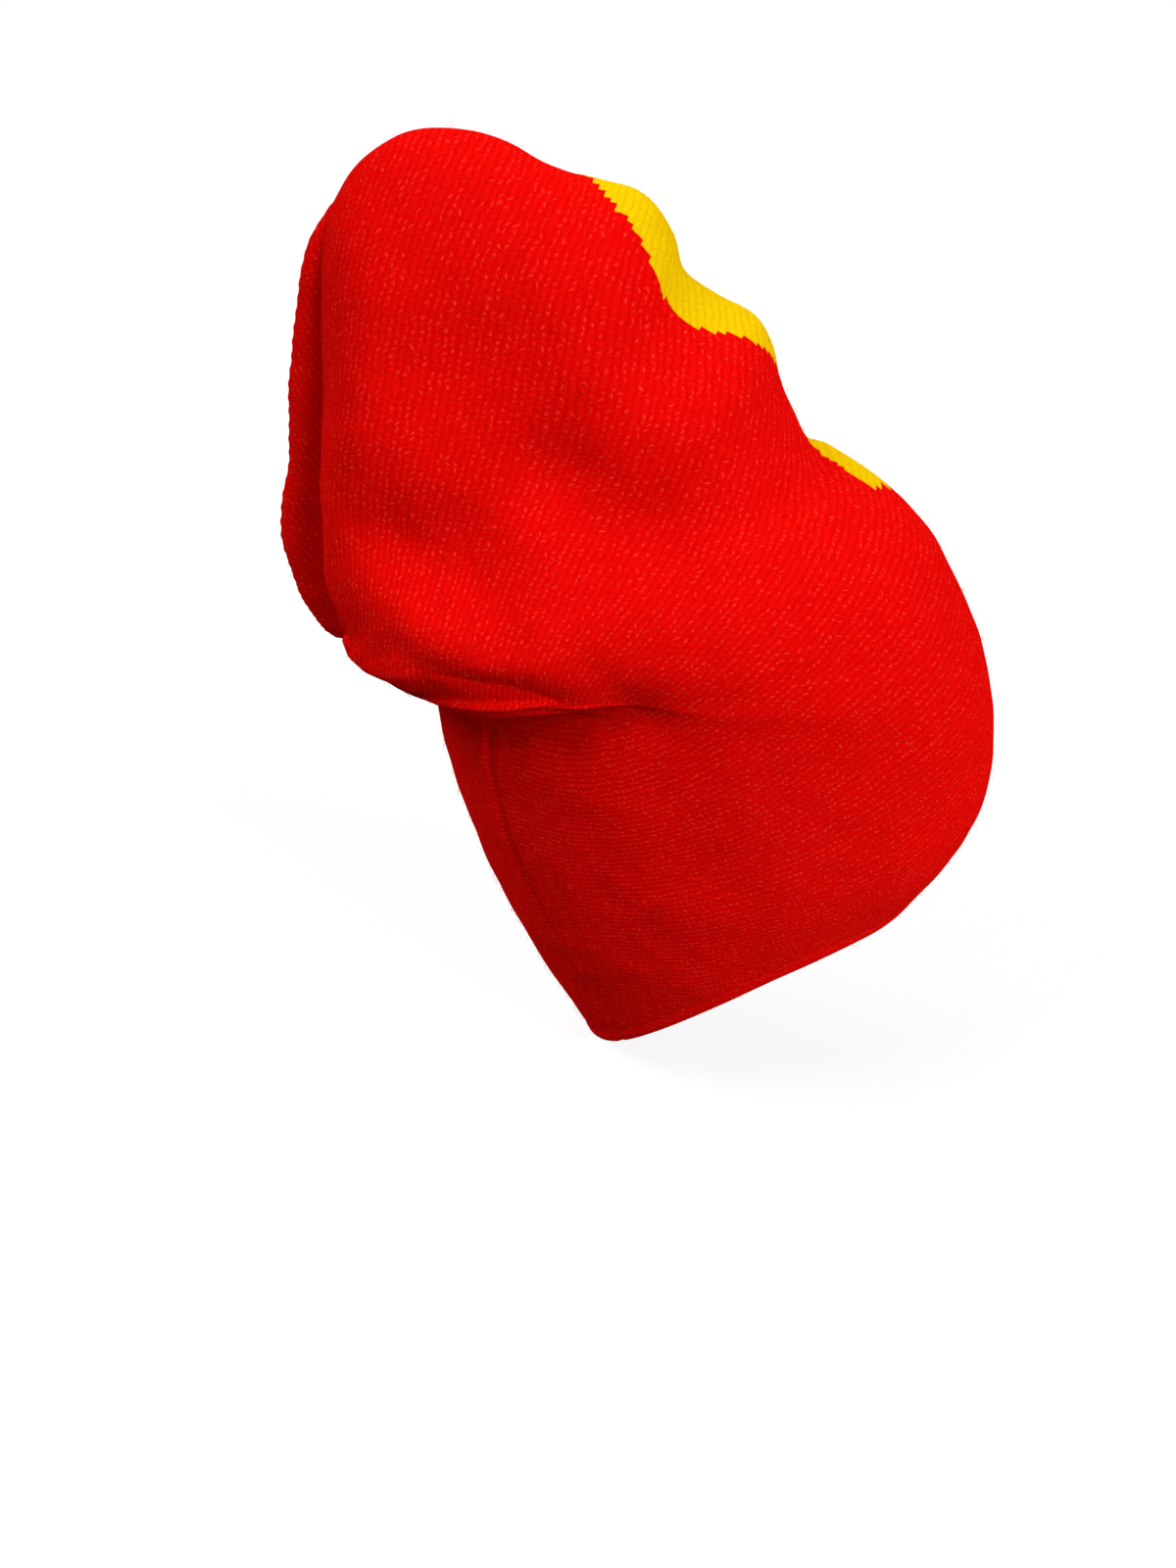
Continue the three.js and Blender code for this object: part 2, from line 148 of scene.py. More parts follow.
# %% [markdown]
# ## The tube as one function
#
# A hat like this could be sculpted or draped by a simulation. A function of two numbers was chosen: how far
# along the tube a point is, and its angle from the front. It gives the outer face, the lining, the edge of the
# yellow field and the seams, so they all fit each other.


# %% Curves through table rows
def smooth(low, high, value):
    share = np.clip((value - low) / (high - low), 0, 1)
    return share * share * (3 - 2 * share)


def through(knots, values, at):
    """A smooth curve through the values at the knots, read at the places at."""
    slopes = np.empty_like(values, dtype=float)
    gaps = knots[2:] - knots[:-2]
    slopes[1:-1] = (values[2:] - values[:-2]) / (gaps[:, None] if values.ndim > 1 else gaps)
    slopes[0] = (values[1] - values[0]) / (knots[1] - knots[0])
    slopes[-1] = (values[-1] - values[-2]) / (knots[-1] - knots[-2])
    at = np.clip(at, knots[0], knots[-1])
    i = np.clip(np.searchsorted(knots, at, side="right") - 1, 0, len(knots) - 2)
    step = knots[i + 1] - knots[i]
    u = (at - knots[i]) / step
    if values.ndim > 1:
        u, step = u[..., None], step[..., None]
    ease_in = (2 * u**3 - 3 * u**2 + 1) * values[i] + (u**3 - 2 * u**2 + u) * step * slopes[i]
    ease_out = (3 * u**2 - 2 * u**3) * values[i + 1] + (u**3 - u**2) * step * slopes[i + 1]
    return ease_in + ease_out


def bump(away, height, spread):
    """A soft bump of a height where away is 0, which falls off over the spread."""
    return height * np.exp(-((away / spread) ** 2))


def away_from_line(flat, start, end):
    """How far the points of a grid are from the line between two places, seen from the side."""
    way = end - start
    share = np.clip(((flat - start) @ way) / (way @ way), 0, 1)
    return length(flat - start - share[..., None] * way)


def length(vectors):
    return np.linalg.norm(vectors, axis=-1)


def unit(vectors):
    return vectors / np.maximum(length(vectors), 1e-12)[..., None]


def measured_line(points, count=1200):
    """The line through the points, as many places at even distances along it."""
    chords = np.concatenate([[0], np.cumsum(length(np.diff(points, axis=0)))])
    fine = through(chords, points, np.linspace(0, chords[-1], 20 * count))
    run = np.concatenate([[0], np.cumsum(length(np.diff(fine, axis=0)))])
    even = np.linspace(0, run[-1], count)
    return np.stack([np.interp(even, run, fine[:, k]) for k in range(2)], axis=1)


front_line = measured_line(FRONT_LINE * (hat_depth, hat_height))


def front_at(along):
    place = np.clip(along, 0, 1) * (len(front_line) - 1)
    numbers = np.arange(len(front_line))
    return np.stack([np.interp(place, numbers, front_line[:, k]) for k in range(2)], axis=-1)


def section(column, along):
    return through(SECTIONS[:, 0], SECTIONS[:, column], along)


# %% The tube's surface
def by_degrees(limits, angle):
    """0 from the front to the first limit, 1 from the second limit to the back. Limits are in degrees."""
    return smooth(*limits, np.degrees(np.arccos(np.cos(angle))))


def fuller(along, angle):
    """How much wider than an ellipse the bag's lower edge is, which makes a soft roll of it."""
    strength = lower_roll * smooth(*fuller_along, along) * by_degrees(roll_degrees, angle)
    return np.maximum(np.abs(np.sin(angle)), roll_limit) ** -strength


def ring_point(along, angle):
    """The tube without its fold: a flattened ring between the front line and the back line."""
    along, angle = np.broadcast_arrays(along, angle)
    front = front_at(along)
    back = np.stack([section(1, along) * hat_depth, section(2, along) * hat_height], axis=-1)
    across = unit(back - front)
    share = (1 - np.cos(angle)) / 2
    flat = front + (back - front) * share[..., None]
    bow = section(4, along) * hat_depth * np.sin(np.pi * share**bow_low)
    x = flat[..., 0] + across[..., 1] * bow
    z = flat[..., 1] - across[..., 0] * bow + section(5, along) * side_arch * np.sin(angle) ** 2
    return np.stack([x, section(3, along) * head_width * np.sin(angle) * fuller(along, angle), z], axis=-1)


def lip_strength(angle):
    """How far the bag's lower edge stands out: not at the sides, fully at the back."""
    return by_degrees(lip_degrees, angle)


def fold_strength(angle):
    """How deep the fold behind that edge is."""
    return by_degrees(fold_degrees, angle)


mouth_back = ring_point(fold_start, math.pi)
head_middle = (ring_point(fold_start, 0) + mouth_back) / 2
back_reach = length(mouth_back - head_middle)


def head_normal(arm, climb):
    return unit(np.stack([
        np.cos(climb) * arm[..., 0] / back_reach**2,
        np.cos(climb) * arm[..., 1] / (head_width / 2) ** 2,
        np.sin(climb) / skull_rise + 0 * arm[..., 0],
    ], axis=-1))


def into_fold(angle, turn):
    """From the fold's mouth to a place inside the fold, which lies in the head part under the bag."""
    climb = fold_reach * fold_strength(angle) * (1 - (2 * turn - 1) ** 2)
    arm = ring_point(fold_start, angle) - head_middle
    way = arm * (np.cos(climb) - 1)[..., None]
    way[..., 2] += skull_rise * np.sin(climb)
    gap = fold_gap * lip_strength(angle) * smooth(*gap_turns, turn)
    return way + head_normal(arm, climb) * gap[..., None]


def round_lip(angle, turn):
    """From the fold's mouth round the bag's lower edge, where the cloth turns back up."""
    arm = ring_point(fold_start, angle) - head_middle
    radius = lip_radius * lip_strength(angle)
    way = head_normal(arm, 0 * angle) * (radius * (1 - np.cos(np.pi * turn)))[..., None]
    way[..., 2] -= radius * np.sin(np.pi * turn)
    return way + into_fold(angle, 1 + 0 * angle)


def dented(points):
    """Points of the bag, moved in where a dent passes and out where a rise does."""
    depth = np.zeros(points.shape[:-1])
    flat = points[..., [0, 2]]
    for x0, z0, x1, z1, deep, spread in DENTS:
        start = np.array((x0 * hat_depth, z0 * hat_height))
        end = np.array((x1 * hat_depth, z1 * hat_height))
        depth += bump(away_from_line(flat, start, end), deep * head_width, spread * head_width)
    limit = np.abs(points[..., 1]) / 2
    points[..., 1] -= np.sign(points[..., 1]) * np.clip(depth, -limit, limit)
    return points


# %% [markdown]
# ## The sewn end
#
# The allowance of the end seam fills a soft, rope-like strip. The table says where the seam lies and how far
# the strip swells. Higher up the cloth reaches out into it, and lower down it laps over the cloth.

# %% The sewn end's table
END_STRIP = np.array([  # share of the way down; then mm out of the end line: seam, outer edge, half thickness
    (0.03, 0, 0, 1.6), (0.1, 1.0, 2.6, 4.2), (0.2, 3.2, 8.4, 6.4), (0.33, 2.5, 12.0, 7.4),
    (0.43, 0.4, 12.2, 7.8), (0.54, -1.5, 9.6, 8.0), (0.63, -4.2, 11.2, 8.6), (0.7, -5.8, 9.4, 9.0),
    (0.8, -6.6, 6.8, 8.4), (0.87, -6.2, 4.8, 7.0), (0.94, -5.0, 1.8, 4.4), (0.985, -4.0, -3.5, 0.8),
])
ANGLE_STEP = 0.02  # for the end line's slope
END_MARGIN = 0.03  # the angle at both ends of the end line over which its slope is held
END_CORNER = (-0.146, 0.149)  # x, z of the end's lower corner
CORNER_TUCK = 0.0022
CORNER_SPREAD = 0.007
CORNER_WAY = (0.75, 0, 0.66)
PULL_START = 0.9  # where along the tube the cloth begins to reach for the strip
PULL_EARLIER = 0.32  # and how much earlier it does at the back
PULL_DEGREES = (125, 168)


def end_line(angle):
    """The middle of the sewn end at an angle, and the direction out of the bag there."""
    here = ring_point(1.0, angle) * (1, 0, 1)
    ahead = ring_point(1.0, angle + ANGLE_STEP)
    behind = ring_point(1.0, angle - ANGLE_STEP)
    tangent = unit((ahead - behind) * (1, 0, 1))
    return here, np.stack([tangent[:, 2], 0 * angle, -tangent[:, 0]], axis=-1)


def tucked(points):
    """Points near the sewn end's lower corner, tucked in a little."""
    tuck = bump(length(points[..., [0, 2]] - END_CORNER), CORNER_TUCK, CORNER_SPREAD)
    return points + tuck[..., None] * np.array(CORNER_WAY)


def seam_pull(along, angles):
    """How far the cloth near its end is drawn out into the strip, or back from it."""
    half = np.clip(np.arccos(np.cos(angles)), END_MARGIN, math.pi - END_MARGIN)
    seam = through(END_STRIP[:, 0], END_STRIP[:, 1], half / math.pi) / 1000
    _, out = end_line(half)
    pull_from = PULL_START - PULL_EARLIER * by_degrees(PULL_DEGREES, angles)
    return smooth(pull_from, 1.0, along)[..., None] * (out * seam[:, None])[None]


# %% [markdown]
# ## Rows and columns
#
# The surface is a grid: rows run round the tube, and columns from the rim to the sewn end. The rows have four
# stretches: the head, the two layers in the fold, the rounded lower edge, and the bag. More columns lie beside
# the seam up the back, so that its groove and its ridges are real relief.

# %% Rows and columns
HEAD, FOLD, LIP, BAG = range(4)
head_rows = 58
fold_rows = 18
lip_rows = 14
bag_rows = 138
column_count = 288
seam_angle = math.radians(-143)
end_crowding = 0.12  # how much closer the bag's rows lie near the sewn end
seam_crowding = 0.6  # how much closer the columns lie near the back seam


def tube_rows():
    """For each row: its stretch and its share of that stretch."""
    rows = [(HEAD, i / head_rows) for i in range(head_rows)]
    rows += [(FOLD, i / fold_rows) for i in range(fold_rows)]
    rows += [(LIP, i / lip_rows) for i in range(lip_rows)]
    even = np.linspace(0, 1, bag_rows + 1)
    rows += [(BAG, share) for share in even + end_crowding * np.sin(np.pi * even) * even]
    return np.array(rows)


def tube_columns():
    """Angles once round from the back seam, closer together on both sides of it."""
    even = np.linspace(0, 1, column_count + 1)
    return seam_angle + 2 * np.pi * (even - seam_crowding * np.sin(2 * np.pi * even) / (2 * np.pi))


def surface(rows, angles):
    """The outer surface at each row and angle, and how far along the front line each point is."""
    stretch, share = rows[:, 0][:, None], rows[:, 1][:, None]
    angle = np.broadcast_to(angles[None, :], (len(rows), len(angles)))
    along = np.select(
        [stretch == HEAD, stretch == FOLD, stretch == LIP],
        [fold_start * share, fold_start + half_fold * share, fold_start + half_fold * (1 + share)],
        bag_start + (1 - bag_start) * share,
    ) + 0 * angle
    points = ring_point(along, angle)
    turn = share + 0 * angle
    points += np.where((stretch == FOLD)[..., None], into_fold(angle, turn), 0)
    points += np.where((stretch == LIP)[..., None], round_lip(angle, turn), 0)
    faded = (1 - smooth(bag_start, lip_fade, along))[..., None]
    points += np.where((stretch == BAG)[..., None], round_lip(angle, 1 + 0 * angle) * faded, 0)
    points = np.where((stretch == BAG)[..., None], dented(points.copy()), points)
    return tucked(points + seam_pull(along, angles)), along


def outward(points):
    """The direction out of the surface at each point of a grid whose last column meets its first."""
    above = np.concatenate([points[1:], points[-1:]])
    below = np.concatenate([points[:1], points[:-1]])
    inner = points[:, :-1]
    right = np.concatenate([inner[:, 1:], inner[:, :1]], axis=1)
    left = np.concatenate([inner[:, -1:], inner[:, :-1]], axis=1)
    way = unit(np.cross(right - left, (above - below)[:, :-1]))
    return np.concatenate([way, way[:, :1]], axis=1)


rows = tube_rows()
angles = tube_columns()
plain, along = surface(rows, angles)

# %% [markdown]
# ## How the stitches run
#
# Knitting is one grid of stitches, bent with the cloth. Its rows lie level round the head part and fan out from
# the end of the nape crease above it. The table says which way the knitting grows, seen from the side. A
# least-squares solution turns that into two numbers for each point: its row and its stitch in the row.

# %% Directions of growth
STITCH_PITCH = 0.0019  # along a row
ROW_PITCH = 0.0023

GROWTH = np.array([  # x, z in metres, and degrees up from the front's direction
    (0.048, 0.160, 100), (0.048, 0.190, 125), (0.015, 0.190, 130), (0.003, 0.235, 178),
    (-0.016, 0.215, 160), (-0.039, 0.188, 143), (-0.072, 0.190, 155), (-0.097, 0.181, 166),
    (-0.043, 0.258, 178), (-0.076, 0.296, 142), (-0.111, 0.252, 170), (-0.135, 0.264, 172),
    (-0.145, 0.184, 187), (-0.110, 0.300, 155),
])
GROWTH_CORE = 0.012  # within this distance a place of the table hardly gains weight
LEVEL_UNTIL = 0.55  # the share of the head part up to which rows stay level at the front


def near_fold(rows):
    """How near each row is to the fold: 0 at the rim, 1 in the fold and above it."""
    return np.where(rows[:, 0] == HEAD, rows[:, 1], 1.0)


def growth(points, normals, rows):
    """The direction in the cloth in which the knitting grows, at each point of the grid."""
    flat = points[..., [0, 2]]
    total = np.zeros(flat.shape)
    for x, z, degrees in GROWTH:
        weight = 1 / (np.sum((flat - (x, z)) ** 2, axis=-1) + GROWTH_CORE**2) ** 1.5
        turn = math.radians(degrees)
        total += weight[..., None] * (math.cos(turn), math.sin(turn))
    total = unit(total)
    way = np.stack([total[..., 0], 0 * total[..., 0], total[..., 1]], axis=-1)
    at_front = (1 - lip_strength(angles)) * smooth(LEVEL_UNTIL, 1.0, near_fold(rows))[:, None]
    level = (rows[:, 0] <= FOLD)[:, None] * (1 - at_front)
    way = way * (1 - level)[..., None] + np.array((0, 0, 1)) * level[..., None]
    way -= normals * np.sum(way * normals, axis=-1, keepdims=True)
    return unit(way)


# %% Stitch numbers by least squares
SHORTEST_EDGE = 1e-4
SOLVER_STEPS = 900
SOLVER_GOAL = 1e-14


def count_along(points, way, slack, closed):
    """The function over the grid whose slope follows way, by conjugate gradients.

    slack is the weight of each point, and closed joins the last column to the first.
    """
    if closed:
        points, way, slack = points[:, :-1], way[:, :-1], slack[:, :-1]

    def right(grid):
        return np.concatenate([grid[:, 1:], grid[:, :1]], axis=1) if closed else grid[:, 1:]

    def left(grid):
        return grid if closed else grid[:, :-1]

    up_edge = points[1:] - points[:-1]
    side_edge = right(points) - left(points)
    up_long = length(up_edge) + SHORTEST_EDGE
    side_long = length(side_edge) + SHORTEST_EDGE
    up_wanted = np.sum(up_edge * (way[1:] + way[:-1]) / 2, axis=-1)
    side_wanted = np.sum(side_edge * (right(way) + left(way)) / 2, axis=-1)
    width = np.zeros(points.shape[:2])
    width[:, : side_long.shape[1]] += side_long
    up_weight = (width[1:] + width[:-1]) / 2 / up_long * np.minimum(slack[1:], slack[:-1])
    height = np.zeros(points.shape[:2])
    height[:-1] += up_long
    height[1:] += up_long
    side_weight = left(height)[:, : side_long.shape[1]] / 2 / side_long * left(slack)

    def gather(up_flow, side_flow, sign=-1):
        total = np.zeros(points.shape[:2])
        total[1:] += up_flow
        total[:-1] += sign * up_flow
        if closed:
            total += sign * side_flow
            total += np.roll(side_flow, 1, axis=1)
        else:
            total[:, 1:] += side_flow
            total[:, :-1] += sign * side_flow
        return total

    def spread(values):
        return gather(up_weight * (values[1:] - values[:-1]), side_weight * (right(values) - left(values)))

    diagonal = gather(up_weight, side_weight, 1) + 1e-9
    wanted = gather(up_weight * up_wanted, side_weight * side_wanted)
    values = np.zeros(points.shape[:2])
    rest = wanted - spread(values)
    step = rest / diagonal
    energy = np.sum(rest * step)
    for _ in range(SOLVER_STEPS):
        pulled = spread(step)
        size = energy / np.sum(step * pulled)
        values += size * step
        rest -= size * pulled
        eased = rest / diagonal
        new_energy = np.sum(rest * eased)
        step = eased + step * new_energy / energy
        energy = new_energy
        if energy < SOLVER_GOAL:
            break
    return np.concatenate([values, values[:, :1]], axis=1) if closed else values


COARSE_STEP = 3  # the numbers are worked out at every third row and column
HIDDEN_SHARE = 0.98  # how much less the fold counts where it is hidden
HIDDEN_BY = 0.25  # the lower edge's strength from which it is

normals = outward(plain)
grows = growth(plain, normals, rows)
coarse_rows = np.arange(0, len(rows), COARSE_STEP)
coarse_columns = np.arange(0, column_count + 1, COARSE_STEP)
picked = np.ix_(coarse_rows, coarse_columns)
hidden = (rows[:, 0] == FOLD)[:, None] * smooth(0.0, HIDDEN_BY, lip_strength(angles))[None, :]
slack = (1 - HIDDEN_SHARE * hidden)[picked]


def finer(grid):
    """A coarse grid of values, read at every row and column of the surface."""
    every_row, every_column = np.arange(len(rows)), np.arange(column_count + 1)
    wide = np.stack([np.interp(every_column, coarse_columns, row) for row in grid])
    return np.stack([np.interp(every_row, coarse_rows, column) for column in wide.T], axis=1)


row_count = finer(count_along(plain[picked], grows[picked], slack, True)) / ROW_PITCH
across_rows = np.cross(normals, grows)
stitch_count = finer(count_along(plain[picked], across_rows[picked], slack, False)) / STITCH_PITCH
stitches = np.stack([stitch_count - stitch_count.min() + 4, row_count - row_count.min() + 4], axis=-1)

# %% [markdown]
# ## The relief of the cloth
#
# On the smooth tube lie small things that the eye reads as cloth: faint lumps, the seam up the back as a groove
# between ridges, a turned hem above the rim, and the soft swells and hollows round the fold over the nape.

# %% Relief
LUMPS = [  # height, width, seed
    (0.0011, 0.030, 3.0),
    (0.0004, 0.011, 7.0),
]
SEAM_GROOVE = (-0.0013, 0.0016)  # height and spread
SEAM_RIDGES = [  # place beside the groove, height, spread
    (-0.0042, 0.0007, 0.0026),
    (0.0045, 0.0003, 0.003),
]
LOW_SEAM = 0.25  # the seam's strength near the rim
SEAM_GROWS = (0.3, 0.7)  # the shares of the head part between which it grows to 1
HEM_BAND = (0.0004, 0.0025, 0.005)  # height, and where above the rim it ends
HEM_LINE = (0.0048, -0.0005, 0.0012)  # place above the rim, height, spread
CREASE_END = (-0.050, 0.150)  # x, z of the place where the nape's crease runs out
CREASE_HOLLOW = (-0.003, 0.013)  # height and spread
FOLD_CALM = 0.8  # how much flatter the lumps are in the fold
RIM_CALM = (-0.02, 0.04)  # where along the tube they grow


def lumps(points, scale, seed):
    """Smooth random heights between about -1 and 1 at the points."""
    shift = Vector((seed, 2.3 * seed, 4.1 * seed))
    flat = points.reshape(-1, 3) / scale
    return np.array([noise.noise(Vector(p) + shift) for p in flat]).reshape(points.shape[:-1])


def seam_relief(points, rows):
    """A groove along the back seam with a ridge on each side, on the head part and in the fold."""
    steps = length(np.diff(points, axis=1))
    run = np.concatenate([np.zeros((len(points), 1)), np.cumsum(steps, axis=1)], axis=1)
    beside = np.where(run < run[:, -1:] / 2, run, run - run[:, -1:])
    groove = bump(beside, *SEAM_GROOVE)
    ridge = sum(bump(beside - place, height, spread) for place, height, spread in SEAM_RIDGES)
    on_head = LOW_SEAM + (1 - LOW_SEAM) * smooth(*SEAM_GROWS, rows[:, 1])
    strength = np.where(rows[:, 0] == HEAD, on_head, rows[:, 0] == FOLD)
    return (groove + ridge) * strength[:, None]


def hem_relief(points):
    """The rim's turned edge: a little thicker, with a faint line above it."""
    steps = length(np.diff(points, axis=0))
    height = np.concatenate([np.zeros((1, points.shape[1])), np.cumsum(steps, axis=0)])
    band = HEM_BAND[0] * (1 - smooth(*HEM_BAND[1:], height))
    return band + bump(height - HEM_LINE[0], *HEM_LINE[1:])


SWELLS = [  # the stretch it lies on; then in mm: x0, z0, x1, z1, height, spread
    (BAG, -112, 187, -60, 185, 5.0, 13),
    (BAG, -110, 161, -62, 156, -5.0, 9),
    (HEAD, -105, 143, -50, 148, -4.5, 13),
]
SWELL_DEGREES = (108, 128)
SWELL_FADES = (150, 178)  # where they fade to a half over the middle of the nape


def swells(points, rows):
    """The soft overhang of the bag above the fold, and the hollow of the head part below it."""
    total = np.zeros(points.shape[:2])
    flat = points[..., [0, 2]] * 1000
    stretch, share_of = rows[:, 0][:, None], rows[:, 1][:, None]
    strength = {
        BAG: (stretch == BAG) + (stretch == LIP) * smooth(0.2, 1.0, share_of),
        HEAD: (stretch == HEAD) + (stretch == FOLD) * (1 - smooth(0.0, 0.4, share_of)),
    }
    for where, x0, z0, x1, z1, height, spread in SWELLS:
        away = away_from_line(flat, np.array((x0, z0)), np.array((x1, z1)))
        total += bump(away, height / 1000, spread) * strength[where]
    sideways = head_normal(ring_point(fold_start, angles) - head_middle, 0 * angles)
    at_fold = by_degrees(SWELL_DEGREES, angles) * (1 - 0.5 * by_degrees(SWELL_FADES, angles))
    return (total * at_fold)[..., None] * sideways


def crease_end(points):
    """A soft hollow on each side, where the crease over the nape runs out."""
    return bump(length(points[..., [0, 2]] - CREASE_END), *CREASE_HOLLOW)


relief = sum(height * lumps(plain, width, seed) for height, width, seed in LUMPS)
in_fold = np.isin(rows[:, 0], (FOLD, LIP))[:, None] * lip_strength(angles)
relief *= (1 - FOLD_CALM * in_fold) * smooth(*RIM_CALM, along)
relief += seam_relief(plain, rows) + hem_relief(plain) + crease_end(plain)
cloth = plain + normals * relief[..., None] + swells(plain, rows)
cloth[:, -1] = cloth[:, 0]
normals = outward(cloth)

# %% [markdown]
# ## The yellow field
#
# Colours change in knitting from one stitch to the next. Each small face of the grid belongs to a stitch, and
# each stitch is yellow or red as a whole.

# %% Which faces are yellow
ROW_KEY = 100000  # more than the stitches in a row


def middle_of(grid):
    return (grid[:-1, :-1] + grid[1:, :-1] + grid[:-1, 1:] + grid[1:, 1:]) / 4


def without_loose_faces(marked):
    """The marked faces without lone ones, and with the gaps of one face filled."""
    for _ in range(2):
        level = np.zeros((1, marked.shape[1]), dtype=int)
        beside = np.concatenate([level, marked[:-1]]) + np.concatenate([marked[1:], level])
        beside = beside + np.roll(marked, 1, axis=1) + np.roll(marked, -1, axis=1)
        marked = np.where(marked, beside >= 2, beside >= 3)
    return marked


def yellow_faces():
    """Marks the faces whose stitch lies mostly inside the field's outline."""
    place = middle_of(along)
    turn = (middle_of(np.broadcast_to(angles, along.shape)) + np.pi) % (2 * np.pi) - np.pi
    edges = through(PANEL_OUTLINE[:, 0], PANEL_OUTLINE[:, 1:], place) * panel_reach
    inside = (place > PANEL_OUTLINE[0, 0]) & (place < PANEL_OUTLINE[-1, 0])
    inside &= (turn > edges[..., 0]) & (turn < edges[..., 1])
    number = np.floor(middle_of(stitches)).astype(int)
    key = number[..., 0] + ROW_KEY * number[..., 1]
    _, stitch = np.unique(key, return_inverse=True)
    stitch = stitch.reshape(key.shape)
    share = np.bincount(stitch.ravel(), weights=inside.ravel()) / np.bincount(stitch.ravel())
    return without_loose_faces(share[stitch] > 0.5)


yellow = yellow_faces()

# %% [markdown]
# ## Meshes from grids
#
# The red piece is one closed wall: the outer face, a rounded rim and the lining, both closed at the sewn end.
# Under the yellow field it is sunk a little, and the yellow piece lies in that bed, flush with the red.

# %% Mesh helpers
def mark_creases(mesh):
    """Marks as sharp every edge between a face shaded smooth and a face shaded flat."""
    edge_of = np.empty(len(mesh.loops), dtype=np.int32)
    mesh.loops.foreach_get("edge_index", edge_of)
    is_smooth = np.repeat([p.use_smooth for p in mesh.polygons], [p.loop_total for p in mesh.polygons])
    sharp = np.zeros(len(mesh.edges), dtype=bool)
    sharp[np.intersect1d(edge_of[is_smooth], edge_of[~is_smooth])] = True
    mesh.edges.foreach_set("use_edge_sharp", sharp)


def new_piece(name, sheet):
    mesh = bpy.data.meshes.new(name)
    mesh.from_pydata(sheet.points, [], sheet.faces)
    mesh.polygons.foreach_set("use_smooth", sheet.smooth)
    layer = mesh.uv_layers.new(name="stitches")
    layer.data.foreach_set("uv", np.asarray(sheet.uvs, dtype=np.float32).ravel())
    mark_creases(mesh)
    piece = bpy.data.objects.new(name, mesh)
    bpy.context.scene.collection.objects.link(piece)
    return piece


class Sheet:
    """Points, faces, their shading and their stitch numbers, which grow as grids are added."""

    def __init__(self):
        self.points, self.faces, self.uvs, self.smooth = [], [], [], []

    def add_points(self, grid):
        start = len(self.points)
        self.points.extend(grid.reshape(-1, 3).tolist())
        return start + np.arange(grid.shape[0] * grid.shape[1]).reshape(grid.shape[:2])

    def add_faces(self, index, uv, keep=None, flip=False, flat=None):
        """Faces all round a grid: the ones in keep, and shaded flat where flat marks them."""
        index = round_again(index)
        for i in range(index.shape[0] - 1):
            for j in range(index.shape[1] - 1):
                if keep is not None and not keep[i, j]:
                    continue
                corners = [(i, j), (i, j + 1), (i + 1, j + 1), (i + 1, j)]
                if flip:
                    corners.reverse()
                self.faces.append([int(index[c]) for c in corners])
                self.smooth.append(flat is None or not flat[i, j])
                self.uvs.extend(uv[c] for c in corners)

    def add_walls(self, top, under, uv, marked):
        """Faces between the edges of two layers, wherever a marked face meets one that isn't."""
        top, under = round_again(top), round_again(under)
        last_row, columns = len(marked) - 1, marked.shape[1]
        for i, j in np.argwhere(marked):
            around = (
                ((i, j), (i, j + 1), i > 0 and marked[i - 1, j]),
                ((i, j + 1), (i + 1, j + 1), marked[i, (j + 1) % columns]),
                ((i + 1, j + 1), (i + 1, j), i < last_row and marked[i + 1, j]),
                ((i + 1, j), (i, j), marked[i, j - 1]),
            )
            for start, end, covered in around:
                if not covered:
                    self.faces.append([int(top[end]), int(top[start]), int(under[start]), int(under[end])])
                    self.smooth.append(False)
                    self.uvs.extend((uv[end], uv[start], uv[start], uv[end]))


def round_again(index):
    return np.concatenate([index, index[:, :1]], axis=1)


# %% The red cloth and the yellow field
WALL_INSET = 0.0015  # how far the red lies below the yellow field
FIELD_THICKNESS = 0.0012
FIELD_EDGE = 0.0004  # its thickness at its edge, in the red
FIELD_LIFT = 0.00015  # so that no face of the field lies in a face of the red
RIM_TURNS = np.radians([40, 75, 105, 140])
LINING_STEP = 4  # the lining has every fourth row outside the fold
LINING_STOP = 8  # and ends this many rows before the sewn end


def surrounded(faces):
    """The grid points whose four faces are all marked, in a grid whose last column is its first."""
    around = np.concatenate([faces[:, -1:], faces], axis=1)
    both = around[:, 1:] & around[:, :-1]
    points = np.zeros((faces.shape[0] + 1, faces.shape[1]), dtype=bool)
    points[1:-1] = both[1:] & both[:-1]
    return points


def rim_rings(outer, inner, down):
    """Rings that take the rim round from its outer face to the lining."""
    middle, reach = (outer + inner) / 2, (outer - inner) / 2
    sag = down * length(reach)[..., None]
    return np.stack([middle + reach * math.cos(t) + sag * math.sin(t) for t in RIM_TURNS])


def closing_ring(ring):
    """The last ring pressed flat into the middle plane, which closes the sewn end."""
    flat = ring.copy()
    flat[..., 1] = 0
    return flat[None]


open_cloth, open_normals = cloth[:, :-1], normals[:, :-1]
inside_field = surrounded(yellow)
outer_face = open_cloth - open_normals * (WALL_INSET * inside_field)[..., None]
outer_face = np.concatenate([outer_face, closing_ring(outer_face[-1])])
outer_uv = np.concatenate([stitches, stitches[-1:] + (0, 1)])

